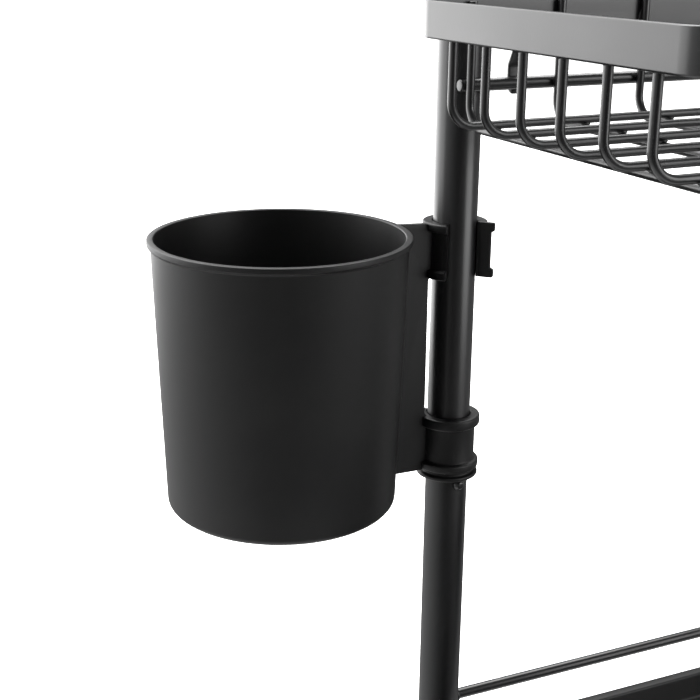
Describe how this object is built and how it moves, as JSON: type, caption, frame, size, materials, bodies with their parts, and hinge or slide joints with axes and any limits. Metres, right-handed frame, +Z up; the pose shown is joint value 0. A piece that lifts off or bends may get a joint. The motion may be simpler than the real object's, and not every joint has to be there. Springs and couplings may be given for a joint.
{
  "type": "dish drying rack",
  "caption": "Two-tier dish drying rack with a wire basket over a slide-out drip tray, a lift-out plate rack and a swivelling utensil cup.",
  "frame": {"origin": "on the counter, under the centre of the whole rack's footprint with the cup included", "axes": "+X along the rack, from the cup's end to the other end; +Y from the user towards the wall; +Z up"},
  "size_m": [0.528, 0.2466, 0.3755],
  "materials": {
    "powder_coated_steel": "satin black powder coat on steel tube, rod and wire",
    "moulded_plastic": "black injection-moulded polypropylene, satin",
    "foot_rubber": "matt black rubber",
    "plated_screw": "zinc-plated steel screw"
  },
  "bodies": {
    "frame": {"left_side_tube": "powder_coated_steel", "right_side_tube": "powder_coated_steel", "left_post_cap": "moulded_plastic", "right_post_cap": "moulded_plastic", "left_rail_cap": "moulded_plastic", "right_rail_cap": "moulded_plastic", "left_rear_foot": "foot_rubber", "right_rear_foot": "foot_rubber", "left_front_foot": "foot_rubber", "right_front_foot": "foot_rubber", "left_basket_screw": "plated_screw", "right_basket_screw": "plated_screw", "left_basket_spacer": "moulded_plastic", "right_basket_spacer": "moulded_plastic", "upper_tie_rod": "powder_coated_steel", "lower_tie_rod": "powder_coated_steel", "front_tie_rod": "powder_coated_steel", "basket_band": "powder_coated_steel", "basket_cross_wire_1": "powder_coated_steel", "basket_cross_wire_2": "powder_coated_steel", "basket_cross_wire_3": "powder_coated_steel", "basket_cross_wire_4": "powder_coated_steel", "basket_cross_wire_5": "powder_coated_steel", "basket_cross_wire_6": "powder_coated_steel", "basket_cross_wire_7": "powder_coated_steel", "basket_cross_wire_8": "powder_coated_steel", "basket_cross_wire_9": "powder_coated_steel", "basket_cross_wire_10": "powder_coated_steel", "basket_long_wire_1": "powder_coated_steel", "basket_long_wire_2": "powder_coated_steel", "basket_long_wire_3": "powder_coated_steel", "basket_long_wire_4": "powder_coated_steel", "basket_long_wire_5": "powder_coated_steel", "basket_long_wire_6": "powder_coated_steel", "left_hook_strap": "powder_coated_steel", "right_hook_strap": "powder_coated_steel", "cup_stop_stud": "powder_coated_steel"},
    "cup": {"utensil_cup": "moulded_plastic"},
    "tray": {"drip_tray": "moulded_plastic"},
    "plate_rack": {"plate_rack_loop": "powder_coated_steel", "plate_rack_hoop_1": "powder_coated_steel", "plate_rack_hoop_2": "powder_coated_steel", "plate_rack_hoop_3": "powder_coated_steel", "plate_rack_hoop_4": "powder_coated_steel", "plate_rack_hoop_5": "powder_coated_steel", "plate_rack_hoop_6": "powder_coated_steel", "plate_rack_hoop_7": "powder_coated_steel", "plate_rack_hoop_8": "powder_coated_steel"}
  },
  "joints": [
    {"name": "cup_swivel", "type": "hinge", "parent": "frame", "child": "cup", "pos_m": [-0.12892, 0.0692, 0.214], "axis": [0, 0, 1], "range_deg": [-90, 90]},
    {"name": "tray_slide", "type": "slide", "parent": "frame", "child": "tray", "axis": [0, -1, 0], "range_m": [0, 0.15]},
    {"name": "plate_rack_lift", "type": "slide", "parent": "tray", "child": "plate_rack", "axis": [0, 0, 1], "range_m": [0, 0.12]}
  ]
}
